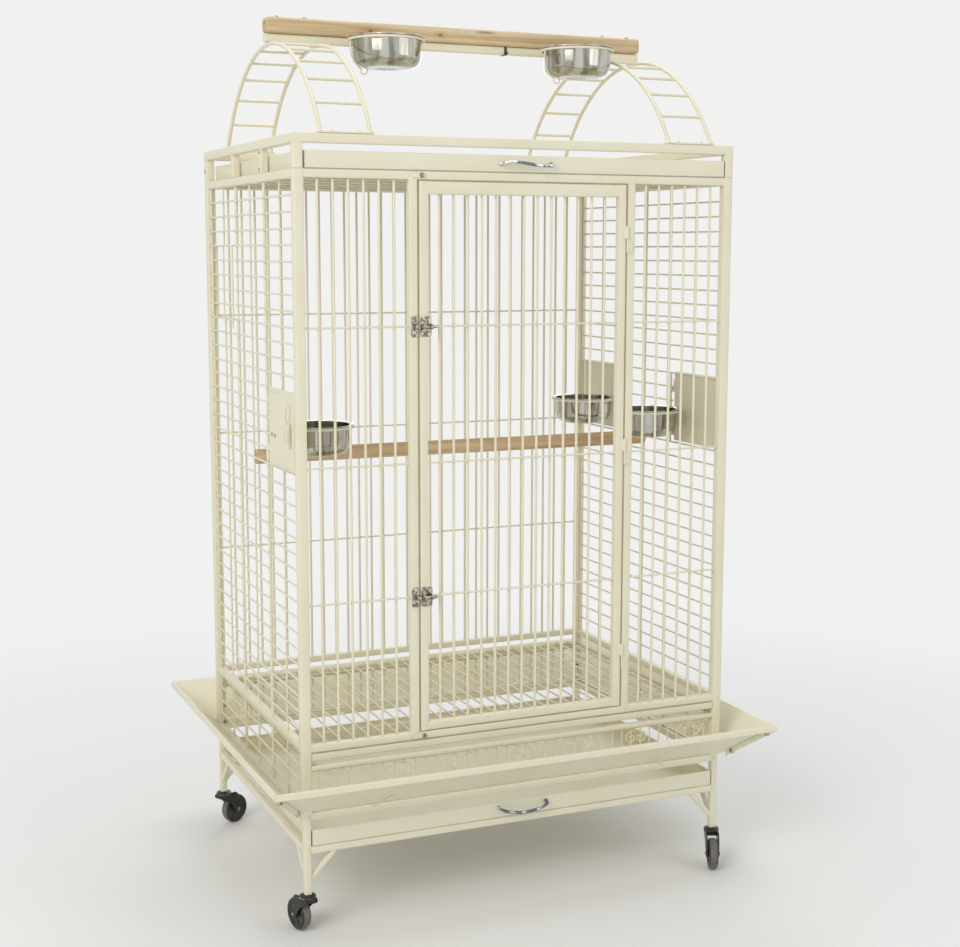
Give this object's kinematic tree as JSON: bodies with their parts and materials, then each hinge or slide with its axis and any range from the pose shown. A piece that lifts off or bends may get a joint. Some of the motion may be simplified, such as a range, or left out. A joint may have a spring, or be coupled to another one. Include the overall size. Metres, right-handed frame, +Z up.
{
  "type": "play top bird cage",
  "caption": "Wheeled wire bird cage with a play top: arched ladders, wooden beam and feed bowls over a hinged front door, swing-out feeders, pull-out trays and sloping seed skirts.",
  "frame": {"origin": "on the floor, under the middle of the cage", "axes": "+Z up, -Y towards the front door, +X to the right of someone facing the door"},
  "size_m": [1.074, 0.834, 1.7446],
  "materials": {
    "cream_coat": "ivory powder coat on steel tube, wire and sheet, satin with a faint grain",
    "pale_pine": "planed pale pine, unvarnished",
    "tan_wood": "turned dowel, unvarnished",
    "bowl_steel": "spun stainless steel, polished",
    "latch_nickel": "nickel-plated pressed steel",
    "handle_chrome": "bright chrome plate",
    "caster_black": "black moulded plastic",
    "caster_tread": "dark grey-brown moulded wheel"
  },
  "bodies": {
    "cage": {"top_frame": "cream_coat", "front_frame": "cream_coat", "front_grille_left": "cream_coat", "front_grille_right": "cream_coat", "back_panel": "cream_coat", "left_panel_top": "cream_coat", "left_panel_nest_front": "cream_coat", "left_panel_nest_back": "cream_coat", "left_panel_middle": "cream_coat", "left_panel_feeder": "cream_coat", "left_panel_lower": "cream_coat", "right_panel_top": "cream_coat", "right_panel_feeder": "cream_coat", "right_panel_lower": "cream_coat", "scroll_panel": "cream_coat", "roof_grid": "cream_coat", "ladder_left": "cream_coat", "ladder_right": "cream_coat", "perch_tube": "cream_coat", "play_perch": "pale_pine", "bowl_ring_left": "cream_coat", "bowl_ring_right": "cream_coat", "inner_perch": "tan_wood", "latch_keeper_lower": "latch_nickel", "latch_keeper_upper": "latch_nickel", "grate_runners": "cream_coat", "stand": "cream_coat", "skirt_front": "cream_coat", "skirt_back": "cream_coat", "skirt_left": "cream_coat", "skirt_right": "cream_coat"},
    "front_door": {"front_door": "cream_coat", "latch_base_lower": "latch_nickel", "latch_base_upper": "latch_nickel"},
    "latch_bolt_lower": {"latch_bolt_lower": "latch_nickel"},
    "latch_bolt_upper": {"latch_bolt_upper": "latch_nickel"},
    "turn_button_upper": {"turn_button_upper": "cream_coat"},
    "turn_button_lower": {"turn_button_lower": "cream_coat"},
    "top_tray": {"top_tray": "cream_coat", "top_tray_handle": "handle_chrome"},
    "bottom_tray": {"bottom_tray": "cream_coat", "bottom_tray_handle": "handle_chrome"},
    "floor_grate": {"floor_grate": "cream_coat"},
    "feeder_door_left": {"feeder_door_left": "cream_coat"},
    "feeder_bowl_left": {"feeder_bowl_left": "bowl_steel"},
    "feeder_door_right_front": {"feeder_door_right_front": "cream_coat"},
    "feeder_bowl_right_front": {"feeder_bowl_right_front": "bowl_steel"},
    "feeder_door_right_back": {"feeder_door_right_back": "cream_coat"},
    "feeder_bowl_right_back": {"feeder_bowl_right_back": "bowl_steel"},
    "nest_door": {"nest_door": "cream_coat"},
    "play_bowl_left": {"play_bowl_left": "bowl_steel"},
    "play_bowl_right": {"play_bowl_right": "bowl_steel"},
    "caster_fork_front_left": {"caster_fork_front_left": "caster_black"},
    "caster_wheel_front_left": {"caster_wheel_front_left": "caster_tread"},
    "caster_fork_front_right": {"caster_fork_front_right": "caster_black"},
    "caster_wheel_front_right": {"caster_wheel_front_right": "caster_tread"},
    "caster_fork_back_left": {"caster_fork_back_left": "caster_black"},
    "caster_wheel_back_left": {"caster_wheel_back_left": "caster_tread"},
    "caster_fork_back_right": {"caster_fork_back_right": "caster_black"},
    "caster_wheel_back_right": {"caster_wheel_back_right": "caster_tread"}
  },
  "joints": [
    {"name": "front_door_hinge", "type": "hinge", "parent": "cage", "child": "front_door", "pos_m": [0.2185, -0.3266, 0.9], "axis": [0, 0, 1], "range_deg": [0, 150]},
    {"name": "latch_lower_slide", "type": "slide", "parent": "front_door", "child": "latch_bolt_lower", "axis": [-1, 0, 0], "range_m": [0, 0.008]},
    {"name": "latch_upper_slide", "type": "slide", "parent": "front_door", "child": "latch_bolt_upper", "axis": [-1, 0, 0], "range_m": [0, 0.008]},
    {"name": "turn_button_upper_pivot", "type": "hinge", "parent": "cage", "child": "turn_button_upper", "pos_m": [-0.212, -0.326, 1.428], "axis": [0, -1, 0], "range_deg": [-90, 0]},
    {"name": "turn_button_lower_pivot", "type": "hinge", "parent": "cage", "child": "turn_button_lower", "pos_m": [-0.212, -0.326, 0.365], "axis": [0, 1, 0], "range_deg": [-90, 0]},
    {"name": "top_tray_slide", "type": "slide", "parent": "cage", "child": "top_tray", "axis": [0, -1, 0], "range_m": [0, 0.56]},
    {"name": "bottom_tray_slide", "type": "slide", "parent": "cage", "child": "bottom_tray", "axis": [0, -1, 0], "range_m": [0, 0.56]},
    {"name": "floor_grate_slide", "type": "slide", "parent": "cage", "child": "floor_grate", "axis": [0, -1, 0], "range_m": [0, 0.55]},
    {"name": "feeder_door_left_hinge", "type": "hinge", "parent": "cage", "child": "feeder_door_left", "pos_m": [-0.458, -0.137, 0.956], "axis": [0, 0, 1], "range_deg": [-120, 0]},
    {"name": "feeder_bowl_left_lift", "type": "slide", "parent": "feeder_door_left", "child": "feeder_bowl_left", "axis": [0, 0, 1], "range_m": [0, 0.08]},
    {"name": "feeder_door_right_front_hinge", "type": "hinge", "parent": "cage", "child": "feeder_door_right_front", "pos_m": [0.458, -0.113, 0.956], "axis": [0, 0, 1], "range_deg": [0, 120]},
    {"name": "feeder_bowl_right_front_lift", "type": "slide", "parent": "feeder_door_right_front", "child": "feeder_bowl_right_front", "axis": [0, 0, 1], "range_m": [0, 0.08]},
    {"name": "feeder_door_right_back_hinge", "type": "hinge", "parent": "cage", "child": "feeder_door_right_back", "pos_m": [0.458, 0.113, 0.956], "axis": [0, 0, 1], "range_deg": [-120, 0]},
    {"name": "feeder_bowl_right_back_lift", "type": "slide", "parent": "feeder_door_right_back", "child": "feeder_bowl_right_back", "axis": [0, 0, 1], "range_m": [0, 0.08]},
    {"name": "nest_door_hinge", "type": "hinge", "parent": "cage", "child": "nest_door", "pos_m": [-0.458, 0.267, 1.2254], "axis": [0, 0, 1], "range_deg": [-120, 0]},
    {"name": "play_bowl_left_lift", "type": "slide", "parent": "cage", "child": "play_bowl_left", "axis": [0, 0, 1], "range_m": [0, 0.08]},
    {"name": "play_bowl_right_lift", "type": "slide", "parent": "cage", "child": "play_bowl_right", "axis": [0, 0, 1], "range_m": [0, 0.08]},
    {"name": "caster_front_left_swivel", "type": "hinge", "parent": "cage", "child": "caster_fork_front_left", "pos_m": [-0.447, -0.315, 0.07], "axis": [0, 0, 1], "continuous": true},
    {"name": "caster_front_left_roll", "type": "hinge", "parent": "caster_fork_front_left", "child": "caster_wheel_front_left", "pos_m": [-0.45502, -0.28506, 0.032], "axis": [-0.9659, -0.2588, 0], "continuous": true},
    {"name": "caster_front_right_swivel", "type": "hinge", "parent": "cage", "child": "caster_fork_front_right", "pos_m": [0.447, -0.315, 0.07], "axis": [0, 0, 1], "continuous": true},
    {"name": "caster_front_right_roll", "type": "hinge", "parent": "caster_fork_front_right", "child": "caster_wheel_front_right", "pos_m": [0.4339, -0.3431, 0.032], "axis": [0.9063, -0.4226, 0], "continuous": true},
    {"name": "caster_back_left_swivel", "type": "hinge", "parent": "cage", "child": "caster_fork_back_left", "pos_m": [-0.447, 0.315, 0.07], "axis": [0, 0, 1], "continuous": true},
    {"name": "caster_back_left_roll", "type": "hinge", "parent": "caster_fork_back_left", "child": "caster_wheel_back_left", "pos_m": [-0.41938, 0.32907, 0.032], "axis": [-0.454, 0.891, 0], "continuous": true},
    {"name": "caster_back_right_swivel", "type": "hinge", "parent": "cage", "child": "caster_fork_back_right", "pos_m": [0.447, 0.315, 0.07], "axis": [0, 0, 1], "continuous": true},
    {"name": "caster_back_right_roll", "type": "hinge", "parent": "caster_fork_back_right", "child": "caster_wheel_back_right", "pos_m": [0.4625, 0.34185, 0.032], "axis": [-0.866, 0.5, 0], "continuous": true}
  ]
}
